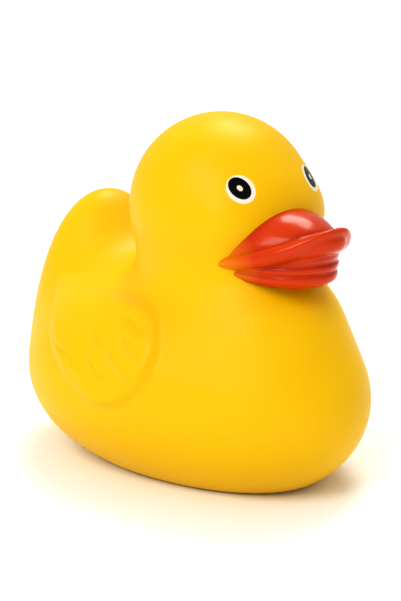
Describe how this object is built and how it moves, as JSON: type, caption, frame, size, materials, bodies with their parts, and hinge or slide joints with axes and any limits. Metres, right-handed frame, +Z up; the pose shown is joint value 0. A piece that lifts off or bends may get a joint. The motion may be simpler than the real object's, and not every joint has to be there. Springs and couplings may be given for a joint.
{
  "type": "rubber duck",
  "caption": "Hollow floating bath toy in the shape of a duck, cast in soft vinyl with low relief wings and an open bill, with a squeaker pressed into its flat base.",
  "frame": {"origin": "centre of the duck's length and width, on the plane of its flat base", "axes": "+Z up through the head, -Y forwards along the bill, +X towards the duck's left; the plane X = 0 is the plane of symmetry"},
  "size_m": [0.0714, 0.0981, 0.0827],
  "materials": {
    "vinyl": "satin",
    "bill_paint": "glossy",
    "squeaker_plastic": "satin",
    "reed_plastic": "glossy"
  },
  "bodies": {
    "root": {"duck_shell": "vinyl", "squeaker_body": "squeaker_plastic", "squeaker_reed": "reed_plastic", "squeaker_cap": "squeaker_plastic"}
  },
  "joints": []
}
